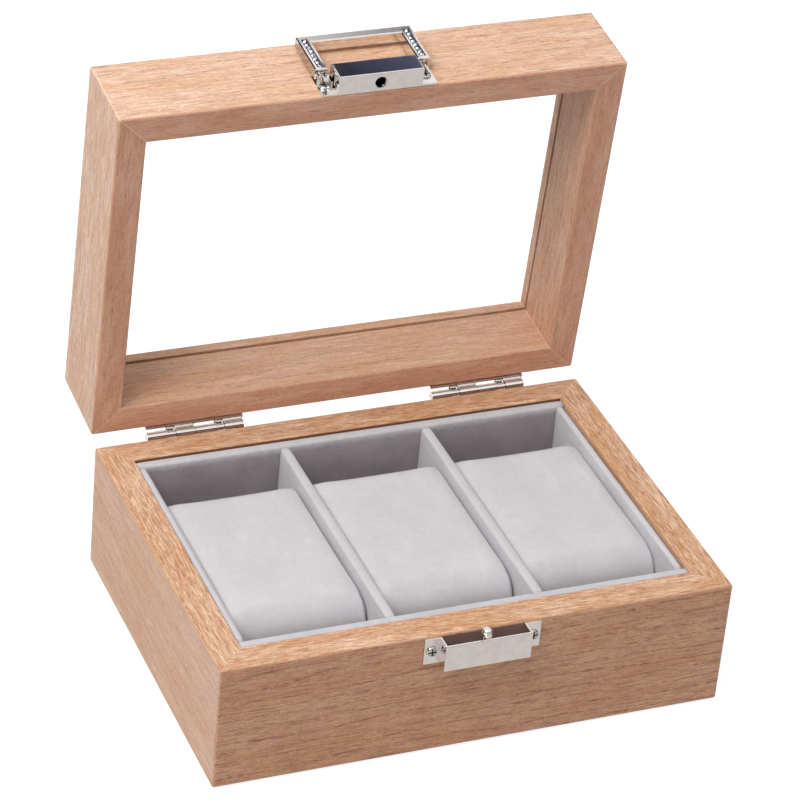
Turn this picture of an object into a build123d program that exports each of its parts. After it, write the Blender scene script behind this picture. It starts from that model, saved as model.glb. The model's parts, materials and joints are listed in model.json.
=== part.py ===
# A small wooden watch box: a mitred base with a velvet liner and three lift-out pillows,
# and a mitred lid with a clear pane. Two stop hinges carry the lid and a folded metal
# clasp with a pull bail closes it. It is drawn with the lid open on its hinge stops.
#
# Millimetres. The origin is the middle of the underside, +X to the right, +Y to the back,
# +Z up. Everything on the lid is drawn closed and then swung open about the hinge axis.

import os
from math import cos, radians, sin

from build123d import *

# Case
box_width = 201.0
box_depth = 146.0
base_height = 52.5
lid_height = 35.5
base_wall = 12.0
lid_wall = 11.3
edge_round = 1.0
rim_round = 0.6
rim_gap = 0.3

# Bottom of the base
felt_thickness = 0.8
felt_inset = 3.0
floor_thickness = 3.0
floor_rabbet = 6.0
floor_clearance = 0.15

# Velvet liner and partitions
liner_end_thickness = 4.2
liner_side_thickness = 2.8
liner_drop = 0.6
liner_clearance = 0.15
liner_floor_thickness = 2.5
divider_thickness = 4.0
divider_drop = 0.6
divider_end_gap = 0.1
velvet_round = 1.1

# One pillow to a compartment, and a divider between each two
pillow_names = ("left", "middle", "right")
divider_names = ("left", "right")

# Pillows
pillow_side_gap = 0.4
pillow_end_gap = 13.3
pillow_rest_gap = 0.2
pillow_drop = 4.0
pillow_roll = 12.5
pillow_crown = 0.3
pillow_edge = 1.3

# Pane in the lid
pane_thickness = 2.0
pane_depth = 25.6
pane_clearance = 0.1
groove_depth = 3.0
window_bevel = 3.7

# Hinges, each made of equal modules of three knuckles
lid_opening = 84.1
axis_behind = 3.5
axis_below = 1.4
hinge_inset = 21.8
hinge_modules = 2
base_knuckle = 8.4
stop_knuckle = 3.3
lid_knuckle = 7.6
knuckle_gap = 0.2
knuckle_radius = 2.0
stop_radius = 1.6
stop_overlap = 0.2
pin_radius = 1.0
pin_clearance = 0.05
leaf_thickness = 0.9
leaf_height = 12.0
stop_clearance = 0.12
tab_length = 1.6
tab_gap = 0.2
hinge_screw_inset = 6.4
hinge_screw_drop = 6.8

# Screws: the hinge screws and the larger clasp screws
screw_shank_radius = 1.0
hinge_head_radius = 1.9
clasp_head_radius = 2.1
screw_head_height = 0.8
screw_head_round = 0.5
screw_tip_cover = 3.5
screw_tip_gap = 0.2
screw_clearance = 0.05
slot_width = 0.55
slot_depth = 0.5
slot_margin = 0.55

# Clasp: keeper on the base
sheet = 0.8
channel_width = 34.0
ear_width = 5.8
keeper_height = 11.0
keeper_drop = 0.9
keeper_depth = 6.6

# Clasp: stud on the keeper, and the hole and catch spring that take it
stud_radius = 2.0
stud_offset = 3.7
stud_rise = 2.2
stud_round = 1.2
neck_depth = 0.3
neck_radius = 0.5
hole_clearance = 0.35
hole_depth = 5.0
spring_wire = 0.35
spring_rise = 0.75
spring_seat = 0.1

# Clasp: plate, block and lugs on the lid
plate_height = 12.5
plate_screw_height = 5.2
block_depth = 7.8
block_height = 9.5
block_side_gap = 0.2
block_round = 0.5
pivot_height = 11.0
pivot_offset = 3.7
pivot_radius = 0.6
lug_clearance = 0.15
lug_side_gap = 0.75

# Clasp: pull bail
bail_inset = 0.1
bail_block_gap = 1.0
bail_top = 30.9
bail_bottom = 9.2
bail_face = 6.1
bail_under = 1.8
bail_bar = 4.0
bail_wall = 0.7
bail_chamfer = 0.4
bumper_radius = 0.9
bumper_gap = 0.15

# Flat-backed stones in the bail's arms
stone_radius = 1.0
stone_table = 0.55
stone_height = 0.75
stone_pitch = 2.3
stone_recess = 0.45
stone_rail = 0.25
stone_sides = 8

# Length by which a cutting shape runs past the face that it cuts
overrun = 1.0

# Heights and half sizes of the case
wood_bottom = felt_thickness
rim_z = wood_bottom + base_height
lid_z = rim_z + rim_gap
lid_top = lid_z + lid_height
half_width = box_width / 2
half_depth = box_depth / 2
front_y = -half_depth

# Room inside the base
floor_top = wood_bottom + floor_thickness
pad_top = floor_top + liner_floor_thickness
liner_top = rim_z - liner_drop
liner_half_x = half_width - base_wall - liner_clearance
liner_half_y = half_depth - base_wall - liner_clearance
inner_half_x = liner_half_x - liner_side_thickness
inner_half_y = liner_half_y - liner_end_thickness
compartments = len(pillow_names)
compartment = (2 * inner_half_x - len(divider_names) * divider_thickness) / compartments
compartment_pitch = compartment + divider_thickness

# Hinges
axis_y = half_depth + axis_behind
axis_z = rim_z - axis_below
module_length = base_knuckle + stop_knuckle + lid_knuckle + 2 * knuckle_gap
hinge_length = hinge_modules * module_length
hinge_x = half_width - hinge_inset - hinge_length / 2
leaf_face = half_depth + leaf_thickness

# Clasp: the bail's arms stand over the ears, each side of the block
clasp_face = front_y - sheet
clasp_width = channel_width + 2 * ear_width
ear_x = (channel_width + ear_width) / 2
block_half = channel_width / 2 - block_side_gap
bail_half = clasp_width / 2 - bail_inset
bail_arm = bail_half - block_half - bail_block_gap
arm_x = bail_half - bail_arm / 2
stud_y = front_y - stud_offset
spring_z = lid_z + spring_rise
hole_radius = stud_radius + hole_clearance
pivot_y = front_y - pivot_offset
pivot_z = lid_z + pivot_height
pivot_hole_radius = pivot_radius + pin_clearance
lug_radius = bail_face - stone_recess - bail_wall - pivot_offset - lug_clearance
lug_thickness = bail_arm - 2 * bail_wall - 2 * lug_side_gap

parts = {}

# The two ends of a pair of holes, arms or hinges, as signs of X
both = (-1, 1)


# A box given by its lowest and highest corners.
def block(x0, x1, y0, y1, z0, z1):
    middle = Pos((x0 + x1) / 2, (y0 + y1) / 2, (z0 + z1) / 2)
    return middle * Box(x1 - x0, y1 - y0, z1 - z0)


# A box centred on X and Y.
def centred_block(half_x, half_y, z0, z1):
    return block(-half_x, half_x, -half_y, half_y, z0, z1)


# A round bar along X.
def bar_x(x0, x1, y, z, radius):
    return Pos((x0 + x1) / 2, y, z) * Rot(0, 90, 0) * Cylinder(radius, x1 - x0)


# A round bar along Y, between two values of Y in either order.
def bar_y(x, y0, y1, z, radius):
    return Pos(x, (y0 + y1) / 2, z) * Rot(90, 0, 0) * Cylinder(radius, abs(y1 - y0))


# A round bar along Z.
def bar_z(x, y, z0, z1, radius):
    return Pos(x, y, (z0 + z1) / 2) * Cylinder(radius, z1 - z0)


# A polygon of (y, z) points, drawn out along X.
def prism_x(points, x0, x1):
    outline = Plane.YZ * make_face(Polyline(*points, close=True))
    return Pos(x0, 0, 0) * extrude(outline, amount=x1 - x0)


# One side of a rectangular ring, cut at its 45 degree mitres. The cutting shape runs a
# little past the ring on every face but the mitres.
def one_side(ring, half_x, half_y, wall, side, z0, z1):
    along, across = (half_x, half_y) if side in ("front", "back") else (half_y, half_x)
    inner = wall + overrun
    points = [
        (-along - overrun, -across - overrun),
        (along + overrun, -across - overrun),
        (along - inner, -across + inner),
        (-along + inner, -across + inner),
    ]
    turn = {"front": 0, "right": 90, "back": 180, "left": 270}[side]
    sector = extrude(make_face(Polyline(*points, close=True)), amount=z1 - z0 + 2 * overrun)
    return ring & (Pos(0, 0, z0 - overrun) * Rot(0, 0, turn) * sector)


def swing_open(shape):
    return shape.rotate(Axis((0, axis_y, axis_z), (1, 0, 0)), -lid_opening)


def keep(name, shape):
    parts[name] = shape


def keep_on_lid(name, shape):
    parts[name] = swing_open(shape)


# A cross-head screw along Y. Its head faces the given way and sits on the plane at y.
def screw(x, y, z, facing, head_radius, shank):
    head_end = y + facing * screw_head_height
    head = bar_y(x, y, head_end, z, head_radius)
    crown = head.edges().filter_by(GeomType.CIRCLE).sort_by(Axis.Y)[-1 if facing > 0 else 0]
    head = fillet(crown, screw_head_round)
    slot_end = head_end - facing * slot_depth
    low, high = sorted((slot_end, head_end))
    arm = head_radius - slot_margin
    half_slot = slot_width / 2
    slots = block(x - arm, x + arm, low, high, z - half_slot, z + half_slot)
    slots += block(x - half_slot, x + half_slot, low, high, z - arm, z + arm)
    return head + bar_y(x, y, y - facing * shank, z, screw_shank_radius) - slots


# The hole for that screw's shank, through sheet metal or into the wood.
def screw_hole(x, y0, y1, z):
    return bar_y(x, y0, y1, z, screw_shank_radius + screw_clearance)


# The shank of a screw that holds sheet metal to a board and stops short inside it.
def shank_length(metal, wall):
    return metal + wall - screw_tip_cover - screw_tip_gap


# Base boards: one rounded ring, cut for the floor and the screws, then mitred.
def base_boards():
    outer = fillet(centred_block(half_width, half_depth, wood_bottom, rim_z).edges(), edge_round)
    hollow_x = half_width - base_wall
    hollow_y = half_depth - base_wall
    ring = outer - centred_block(hollow_x, hollow_y, 0, rim_z + overrun)
    rim = ring.faces().sort_by(Axis.Z)[-1]
    ring = fillet(rim.inner_wires()[0].edges(), rim_round)
    ring -= centred_block(hollow_x + floor_rabbet, hollow_y + floor_rabbet, 0, floor_top)
    for x, z in base_hinge_screws():
        ring -= screw_hole(x, hollow_y + screw_tip_cover, half_depth + overrun, z)
    for x, z in keeper_screws():
        ring -= screw_hole(x, front_y - overrun, -hollow_y - screw_tip_cover, z)
    for side in ("front", "back", "left", "right"):
        board = one_side(ring, half_width, half_depth, base_wall, side, wood_bottom, rim_z)
        keep(f"base_{side}_board", board)


def base_floor():
    reach_x = half_width - base_wall + floor_rabbet - floor_clearance
    reach_y = half_depth - base_wall + floor_rabbet - floor_clearance
    keep("base_floor_panel", centred_block(reach_x, reach_y, wood_bottom, floor_top))
    felt = centred_block(half_width - felt_inset, half_depth - felt_inset, 0, wood_bottom)
    keep("base_felt", felt)


# A velvet-covered wall that stands on the liner's floor, rounded along its top edges.
def padded_wall(x0, x1, y0, y1, top):
    wall = block(x0, x1, y0, y1, pad_top, top)
    length_axis = Axis.X if x1 - x0 > y1 - y0 else Axis.Y
    crest = wall.faces().sort_by(Axis.Z)[-1].edges().filter_by(length_axis)
    return fillet(crest, velvet_round)


# Liner: a padded floor, end walls over its full width and side walls between them.
def liner():
    keep("liner_floor", centred_block(liner_half_x, liner_half_y, floor_top, pad_top))
    for sign, end, side in ((-1, "front", "left"), (1, "back", "right")):
        y0, y1 = sorted((sign * inner_half_y, sign * liner_half_y))
        keep(f"liner_{end}", padded_wall(-liner_half_x, liner_half_x, y0, y1, liner_top))
        x0, x1 = sorted((sign * inner_half_x, sign * liner_half_x))
        keep(f"liner_{side}", padded_wall(x0, x1, -inner_half_y, inner_half_y, liner_top))


# The middle of one of several places a compartment apart, the whole row centred on X.
def row_x(index, count):
    return (index - (count - 1) / 2) * compartment_pitch


def dividers():
    half = divider_thickness / 2
    reach = inner_half_y - divider_end_gap
    for index, name in enumerate(divider_names):
        x = row_x(index, len(divider_names))
        wall = padded_wall(x - half, x + half, -reach, reach, liner_top - divider_drop)
        keep(f"divider_{name}", wall)


# A pillow's outline across the box: a flat foot and crest and large rolled ends.
def pillow_outline(x, half_length, foot, crest, roll):
    height = crest - foot
    outline = RectangleRounded(2 * half_length, height, roll)
    return Pos(x, 0, foot + height / 2) * (Plane.YZ * outline)


# Watch pillow: crowned along the middle, its side edges drawn in.
def pillow(centre_x):
    half = compartment / 2 - pillow_side_gap
    shoulder = half - pillow_edge
    reach = inner_half_y - pillow_end_gap
    foot = pad_top + pillow_rest_gap
    crest = rim_z - pillow_drop
    edge = (reach - pillow_edge, foot + pillow_edge, crest - pillow_edge,
            pillow_roll - pillow_edge)
    body = (reach, foot, crest, pillow_roll)
    middle = (reach + pillow_crown, foot, crest + pillow_crown, pillow_roll)
    shape = loft([
        pillow_outline(centre_x - shoulder, *body),
        pillow_outline(centre_x, *middle),
        pillow_outline(centre_x + shoulder, *body),
    ])
    for sign in both:
        shape += loft([
            pillow_outline(centre_x + sign * shoulder, *body),
            pillow_outline(centre_x + sign * half, *edge),
        ], ruled=True)
    return shape


def pillows():
    for index, name in enumerate(pillow_names):
        keep(f"pillow_{name}", pillow(row_x(index, compartments)))


# Screw places on both hinges at one height, as (x, z) with the lid closed.
def hinge_screws(z):
    reach = hinge_length / 2 - hinge_screw_inset
    return [(side * hinge_x + end * reach, z) for side in both for end in both]


def base_hinge_screws():
    return hinge_screws(axis_z - hinge_screw_drop)


def lid_hinge_screws():
    return hinge_screws(axis_z + hinge_screw_drop)


# One tube of a hinge, round its axis.
def knuckle(x0, x1, radius):
    return bar_x(x0, x1, axis_y, axis_z, radius)


# The bore and screw holes that either leaf of a hinge has.
def leaf_holes(centre_x, screw_places):
    reach = hinge_length / 2 + overrun
    holes = [knuckle(centre_x - reach, centre_x + reach, pin_radius + pin_clearance)]
    for x, z in screw_places:
        holes.append(screw_hole(x, half_depth - overrun, leaf_face + overrun, z))
    return holes


# Where each module of a hinge has its base knuckle, its stop and its lid knuckle: the
# left end of the first, the left and right ends of the stop, and both ends of the last.
def module_spans(centre_x):
    spans = []
    for module in range(hinge_modules):
        start = centre_x - hinge_length / 2 + module * module_length
        stop_start = start + base_knuckle
        stop_end = stop_start + stop_knuckle
        lid_start = stop_end + knuckle_gap
        spans.append((start, stop_start, stop_end, lid_start, lid_start + lid_knuckle))
    return spans


# The leaf on the back of the base. Each module has a full knuckle and, beside it, a
# thinner one with a tooth behind it that the lid leaf's tab meets when the lid is open.
def base_leaf(centre_x):
    half = hinge_length / 2
    web_low = axis_z - knuckle_radius
    web_high = web_low + leaf_thickness
    leaf = block(centre_x - half, centre_x + half, half_depth, leaf_face,
                 axis_z - leaf_height, web_high)
    for start, stop_start, stop_end, lid_start, lid_end in module_spans(centre_x):
        leaf += block(start, stop_end, half_depth, axis_y, web_low, web_high)
        leaf += knuckle(start, stop_start, knuckle_radius)
        leaf += knuckle(stop_start - stop_overlap, stop_end, stop_radius)
        leaf += stop_tooth(stop_start, stop_end)
    return leaf - leaf_holes(centre_x, base_hinge_screws())


# The tooth stands a small clearance behind the rear face of the open lid's tab and a
# small clearance under the open lid's leaf.
def stop_tooth(x0, x1):
    angle = radians(lid_opening)
    tab_rear = sin(angle) * knuckle_radius - cos(angle) * (axis_behind - tab_length)
    leaf_low = sin(angle) * (axis_behind - leaf_thickness) + cos(angle) * knuckle_radius
    front = axis_y + tab_rear + stop_clearance
    back = front + leaf_thickness
    top = axis_z + leaf_low - stop_clearance
    points = [
        (axis_y, axis_z - stop_radius),
        (back, axis_z - stop_radius),
        (back, top),
        (front, top),
        (front, axis_z),
        (axis_y, axis_z),
    ]
    return prism_x(points, x0, x1)


# The leaf on the back of the lid, drawn with the lid closed. Its web runs down to each
# lid knuckle, and a short tab of it reaches over the stop knuckle beside it.
def lid_leaf(centre_x):
    half = hinge_length / 2
    web_high = axis_z + knuckle_radius
    web_low = web_high - leaf_thickness
    tab_face = half_depth + tab_length
    leaf = block(centre_x - half, centre_x + half, half_depth, leaf_face,
                 web_low, axis_z + leaf_height)
    for start, stop_start, stop_end, lid_start, lid_end in module_spans(centre_x):
        leaf += block(lid_start, lid_end, half_depth, axis_y, web_low, web_high)
        leaf += knuckle(lid_start, lid_end, knuckle_radius)
        leaf += block(stop_start + tab_gap, lid_start, half_depth, tab_face, web_low, web_high)
    return leaf - leaf_holes(centre_x, lid_hinge_screws())


def hinges():
    for side, name in zip(both, ("left", "right")):
        x = side * hinge_x
        keep(f"hinge_{name}_base_leaf", base_leaf(x))
        keep_on_lid(f"hinge_{name}_lid_leaf", lid_leaf(x))
        pin = knuckle(x - hinge_length / 2, x + hinge_length / 2, pin_radius)
        keep(f"hinge_{name}_pin", pin)
    base_shank = shank_length(leaf_thickness, base_wall)
    lid_shank = shank_length(leaf_thickness, lid_wall)
    base_set = [screw(x, leaf_face, z, 1, hinge_head_radius, base_shank)
                for x, z in base_hinge_screws()]
    lid_set = [screw(x, leaf_face, z, 1, hinge_head_radius, lid_shank)
               for x, z in lid_hinge_screws()]
    keep("hinge_base_screws", Compound(base_set))
    keep_on_lid("hinge_lid_screws", Compound(lid_set))


# The two screw places of one half of the clasp, as (x, z).
def clasp_screw_row(z):
    return [(side * ear_x, z) for side in both]


def keeper_screws():
    return clasp_screw_row(rim_z - keeper_drop - keeper_height / 2)


def plate_screws():
    return clasp_screw_row(lid_z + plate_screw_height)


# Two screws through a clasp's sheet metal into the front of the box.
def clasp_screw_set(places, wall):
    shank = shank_length(sheet, wall)
    return Compound([screw(x, clasp_face, z, -1, clasp_head_radius, shank) for x, z in places])


# Keeper: one folded strip with an ear each side and a floor, open at the top, and the
# stud that stands on its floor.
def keeper():
    top = rim_z - keeper_drop
    bottom = top - keeper_height
    half = clasp_width / 2
    cheek = channel_width / 2
    face = front_y - keeper_depth
    floor = bottom + sheet
    bracket = block(-half, half, clasp_face, front_y, bottom, top)
    bracket += block(-cheek, cheek, face, front_y, bottom, top)
    bracket -= block(-cheek + sheet, cheek - sheet, face + sheet, front_y + overrun,
                     floor, top + overrun)
    for x, z in keeper_screws():
        bracket -= screw_hole(x, clasp_face - overrun, front_y + overrun, z)
    keep("keeper_bracket", bracket)
    keep("keeper_screws", clasp_screw_set(keeper_screws(), base_wall))

    stud = bar_z(0, stud_y, floor, rim_z + stud_rise, stud_radius)
    crown = stud.edges().filter_by(GeomType.CIRCLE).sort_by(Axis.Z)[-1]
    stud = fillet(crown, stud_round)
    neck = Pos(0, stud_y, spring_z) * Torus(stud_radius - neck_depth + neck_radius, neck_radius)
    keep("keeper_stud", stud - neck)


# Lid rails: one rounded ring with a groove for the pane and a bevelled window, mitred.
def lid_rails():
    outer = fillet(centred_block(half_width, half_depth, lid_z, lid_top).edges(), edge_round)
    hollow_x = half_width - lid_wall
    hollow_y = half_depth - lid_wall
    ring = outer - centred_block(hollow_x, hollow_y, lid_z - overrun, lid_top + overrun)
    rim = ring.faces().sort_by(Axis.Z)[0]
    ring = fillet(rim.inner_wires()[0].edges(), rim_round)
    window = ring.faces().sort_by(Axis.Z)[-1]
    ring = chamfer(window.inner_wires()[0].edges(), window_bevel)
    pane_low = lid_z + pane_depth
    pane_high = pane_low + pane_thickness
    ring -= centred_block(hollow_x + groove_depth, hollow_y + groove_depth,
                          pane_low - pane_clearance, pane_high + pane_clearance)
    for x, z in lid_hinge_screws():
        ring -= screw_hole(x, hollow_y + screw_tip_cover, half_depth + overrun, z)
    for x, z in plate_screws():
        ring -= screw_hole(x, front_y - overrun, -hollow_y - screw_tip_cover, z)
    for side in ("front", "back", "left", "right"):
        rail = one_side(ring, half_width, half_depth, lid_wall, side, lid_z, lid_top)
        keep_on_lid(f"lid_{side}_rail", rail)
    reach = groove_depth - pane_clearance
    keep_on_lid("lid_pane", centred_block(hollow_x + reach, hollow_y + reach, pane_low, pane_high))


# Clasp on the lid: a plate with two lugs that carry the bail's pivot pins.
def clasp_plate():
    half = clasp_width / 2
    plate = block(-half, half, clasp_face, front_y, lid_z, lid_z + plate_height)
    for side in both:
        x0 = side * arm_x - lug_thickness / 2
        x1 = side * arm_x + lug_thickness / 2
        plate += block(x0, x1, pivot_y, clasp_face, pivot_z - lug_radius, pivot_z + lug_radius)
        plate += bar_x(x0, x1, pivot_y, pivot_z, lug_radius)
        plate -= bar_x(x0 - overrun, x1 + overrun, pivot_y, pivot_z, pivot_hole_radius)
    for x, z in plate_screws():
        plate -= screw_hole(x, clasp_face - overrun, front_y + overrun, z)
    keep_on_lid("clasp_plate", plate)
    keep_on_lid("clasp_screws", clasp_screw_set(plate_screws(), lid_wall))
    pins = [bar_x(side * arm_x - bail_arm / 2, side * arm_x + bail_arm / 2,
                  pivot_y, pivot_z, pivot_radius) for side in both]
    keep_on_lid("clasp_pivot_pins", Compound(pins))


# The block that drops on the stud, and the sprung ring in a groove of its hole.
def clasp_block():
    latch = block(-block_half, block_half, front_y - block_depth, clasp_face,
                  lid_z, lid_z + block_height)
    latch = fillet(latch.faces().sort_by(Axis.Y)[0].edges(), block_round)
    latch -= bar_z(0, stud_y, lid_z - overrun, lid_z + hole_depth, hole_radius)
    coil_radius = hole_radius + spring_seat
    place = Pos(0, stud_y, spring_z)
    latch -= place * Torus(coil_radius, spring_wire + screw_clearance)
    keep_on_lid("clasp_block", latch)
    mouth = block(-stud_radius / 2, stud_radius / 2, stud_y, stud_y + coil_radius + overrun,
                  spring_z - spring_rise, spring_z + spring_rise)
    keep_on_lid("clasp_catch_spring", place * Torus(coil_radius, spring_wire) - mouth)


# Bail: a rectangular frame whose arms are hollow underneath and open at their lower
# ends, with a bumper behind its bar and a row of flat-backed stones in each arm.
def bail():
    face = front_y - bail_face
    under = front_y - bail_under
    low = lid_z + bail_bottom
    high = lid_z + bail_top
    bar_low = high - bail_bar
    behind = under + overrun
    window = bail_half - bail_arm
    frame = block(-bail_half, bail_half, face, under, low, high)
    frame -= block(-window, window, face - overrun, behind, low - overrun, bar_low)
    frame = chamfer(frame.faces().sort_by(Axis.Y)[0].outer_wire().edges(), bail_chamfer)
    hollow = bail_arm / 2 - bail_wall
    recess_floor = face + stone_recess
    recess_low = low + stone_pitch / 2
    recess_high = high - bail_bar / 2
    recess_half = stone_radius + stone_rail
    for side in both:
        x = side * arm_x
        frame -= block(x - hollow, x + hollow, recess_floor + bail_wall, behind,
                       low - overrun, bar_low)
        frame -= block(x - recess_half, x + recess_half, face - overrun, recess_floor,
                       recess_low, recess_high)
        frame -= bar_x(x - bail_arm, x + bail_arm, pivot_y, pivot_z, pivot_hole_radius)
    frame += bar_y(0, under, front_y - bumper_gap, high - bail_bar / 2, bumper_radius)
    keep_on_lid("bail_frame", frame)

    count = int((recess_high - recess_low) / stone_pitch)
    middle_z = (recess_low + recess_high) / 2
    stones = [stone(side * arm_x, recess_floor, middle_z + (index - (count - 1) / 2) * stone_pitch)
              for side in both for index in range(count)]
    keep_on_lid("bail_crystals", Compound(stones))


# A stone with a flat table and sloping sides, standing out to the front from y.
def stone(x, y, z):
    place = Plane((x, y, z), (1, 0, 0), (0, -1, 0))
    girdle = place * RegularPolygon(stone_radius, stone_sides)
    table = place * Pos(0, 0, stone_height) * RegularPolygon(stone_table, stone_sides)
    return loft([girdle, table], ruled=True)


base_boards()
base_floor()
liner()
dividers()
pillows()
hinges()
keeper()
lid_rails()
clasp_plate()
clasp_block()
bail()

os.makedirs("parts", exist_ok=True)
for part_name, shape in parts.items():
    export_step(shape, f"parts/{part_name}.step")
    print(f"{part_name}: {shape.volume:.1f} mm3")
print("compartment", round(compartment, 2), "hinge length", round(hinge_length, 2))
print("rim at", round(rim_z, 2), "hinge axis", round(axis_y, 2), round(axis_z, 2))
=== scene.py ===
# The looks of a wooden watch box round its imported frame: veneered boards, velvet liner,
# three stuffed pillows, a clear pane, plated hinges and a jewelled clasp. Metres throughout.

import json
from math import cos, pi, radians, sin
from random import Random

import bmesh
import bpy
from mathutils import Matrix, Vector, noise


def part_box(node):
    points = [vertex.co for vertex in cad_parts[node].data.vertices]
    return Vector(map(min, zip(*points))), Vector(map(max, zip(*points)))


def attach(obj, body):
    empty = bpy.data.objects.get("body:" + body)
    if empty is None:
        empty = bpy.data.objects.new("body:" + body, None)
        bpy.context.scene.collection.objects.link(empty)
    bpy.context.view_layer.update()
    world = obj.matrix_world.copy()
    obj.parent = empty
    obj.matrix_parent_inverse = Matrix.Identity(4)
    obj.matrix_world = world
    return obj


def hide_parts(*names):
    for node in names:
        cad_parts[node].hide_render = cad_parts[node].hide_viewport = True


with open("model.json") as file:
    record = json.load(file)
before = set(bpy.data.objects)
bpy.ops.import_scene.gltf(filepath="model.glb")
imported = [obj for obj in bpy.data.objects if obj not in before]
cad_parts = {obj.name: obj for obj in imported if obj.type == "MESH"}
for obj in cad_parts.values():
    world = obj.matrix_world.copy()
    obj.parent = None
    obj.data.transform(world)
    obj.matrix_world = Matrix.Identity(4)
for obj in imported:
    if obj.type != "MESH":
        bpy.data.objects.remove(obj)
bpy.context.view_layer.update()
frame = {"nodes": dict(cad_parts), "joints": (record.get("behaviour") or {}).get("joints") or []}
nodes = frame["nodes"]
mm = 0.001


# One output of a shader node. Sums on values add Math nodes.
class Signal:
    def __init__(self, shade, socket):
        self.shade = shade
        self.socket = socket

    def other(self, output):
        return Signal(self.shade, self.socket.node.outputs[output])

    def __add__(self, value):
        return self.shade.maths("ADD", self, value)

    def __sub__(self, value):
        return self.shade.maths("SUBTRACT", self, value)

    def __mul__(self, value):
        return self.shade.maths("MULTIPLY", self, value)

    def __truediv__(self, value):
        return self.shade.maths("DIVIDE", self, value)

    def __radd__(self, value):
        return self.shade.maths("ADD", value, self)

    def __rsub__(self, value):
        return self.shade.maths("SUBTRACT", value, self)

    def __rmul__(self, value):
        return self.shade.maths("MULTIPLY", value, self)

    def __rtruediv__(self, value):
        return self.shade.maths("DIVIDE", value, self)

    def __abs__(self):
        return self.shade.maths("ABSOLUTE", self)


# The node tree of a material, a world or a lamp
class Shade:
    def __init__(self, owner):
        owner.use_nodes = True
        self.owner = owner
        self.tree = owner.node_tree
        self.tree.nodes.clear()

    # Any node: settings first, then the values or links of its sockets
    def add(self, kind, settings=None, sockets=None, output=0):
        node = self.tree.nodes.new("ShaderNode" + kind)
        for key, value in (settings or {}).items():
            setattr(node, key, value)
        for key, value in (sockets or {}).items():
            if isinstance(value, Signal):
                self.tree.links.new(value.socket, node.inputs[key])
            else:
                node.inputs[key].default_value = value
        return Signal(self, node.outputs[output]) if node.outputs else node

    def maths(self, operation, *values):
        return self.add("Math", {"operation": operation}, dict(enumerate(values)))

    def stretch(self, place, factors):
        return self.add("VectorMath", {"operation": "MULTIPLY"}, {0: place, 1: factors})

    # The place on the object, in millimetres
    def place(self):
        return self.stretch(self.add("TexCoord", {}, {}, "Object"), (1 / mm, 1 / mm, 1 / mm))

    def join(self, x, y, z):
        return self.add("CombineXYZ", {}, {0: x, 1: y, 2: z})

    def grain(self, place, detail=2.0, roughness=0.5):
        return self.add("TexNoise", {}, {"Vector": place, "Scale": 1.0, "Detail": detail,
                                         "Roughness": roughness})

    # 0 below low, 1 above high, and a smooth step between them
    def step(self, value, low, high):
        return self.add("MapRange", {"interpolation_type": "SMOOTHSTEP"},
                        {"Value": value, "From Min": low, "From Max": high})

    def mix(self, factor, first, second):
        return self.add("Mix", {"data_type": "RGBA"}, {0: factor, 6: first, 7: second}, 2)

    def bump(self, height, strength, distance):
        return self.add("Bump", {}, {"Height": height, "Strength": strength, "Distance": distance})

    def surface(self, sockets):
        shader = self.add("BsdfPrincipled", {}, sockets)
        self.add("OutputMaterial", {}, {"Surface": shader})
        return self.owner


def newShade(name):
    return Shade(bpy.data.materials.new(name))


# A colour as a designer writes it, such as "E5BEA2", in the renderer's linear values
def tint(code):
    parts = [int(code[i:i + 2], 16) / 255 for i in (0, 2, 4)]
    return tuple(p / 12.92 if p <= 0.04045 else ((p + 0.055) / 1.055) ** 2.4 for p in parts) + (1.0,)


# Camera, at the photograph's viewing angle
cameraView = {
    "place": (-0.4898, -1.0612, 0.8557),
    "azimuth": -24.398,
    "elevation": 32.744,
    "roll": 5.549,
    "lens": 169.915,
    "sensor": 36.0,
    "clip": (0.1, 50.0),
}


def placeCamera():
    data = bpy.data.cameras.new("camera")
    data.lens = cameraView["lens"]
    data.sensor_width = cameraView["sensor"]
    data.clip_start, data.clip_end = cameraView["clip"]
    camera = bpy.data.objects.new("camera", data)
    turn = Matrix.Rotation(radians(cameraView["azimuth"]), 4, "Z")
    tip = Matrix.Rotation(radians(90 - cameraView["elevation"]), 4, "X")
    roll = Matrix.Rotation(radians(cameraView["roll"]), 4, "Z")
    camera.matrix_world = Matrix.Translation(cameraView["place"]) @ turn @ tip @ roll
    bpy.context.scene.collection.objects.link(camera)
    bpy.context.scene.camera = camera


placeCamera()
print("camera placed")

# Studio: an even sky, one large soft lamp from the upper left and a pale floor. Cards that
# show only in reflections give polished metal the contrast of its edges and flat faces.
studio = {
    "sky": 0.50,
    "floorSize": 8.0,
    "floorTone": 0.34,
    "floorGlow": 0.86,
}
lamps = {
    "key": {"place": (-0.75, -0.2, 1.35), "aim": (0, 0, 0.08), "size": 0.9, "power": 16.3},
}
cards = {
    "block": {"place": (0.0966, 0.2518, 0.379), "aim": (0.0966, 0.2724, 0.180),
              "size": (0.046, 0.038), "left": "242634", "right": "525670"},
    "bail": {"place": (0.0966, 0.2869, 0.381), "aim": (0.0966, 0.3075, 0.182),
             "size": (0.060, 0.0085), "left": "D9D7D5", "right": "787779"},
    "keeper": {"place": (0.029, -0.022, 0.100), "aim": (0.0, -0.080, 0.052),
               "size": (0.048, 0.012), "left": "FFFFFF", "right": "F2F2F0"},
    "front": {"place": (0.15, -0.32, 0.003), "aim": (0.15, -0.32, 0.5),
              "size": (0.60, 0.46), "left": "DBD6D4", "right": "CECCC8"},
    "horizon": {"radius": 2.4, "low": 0.10, "high": 1.50, "turns": 48,
                "left": "35353B", "right": "35353B"},
}


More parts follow.
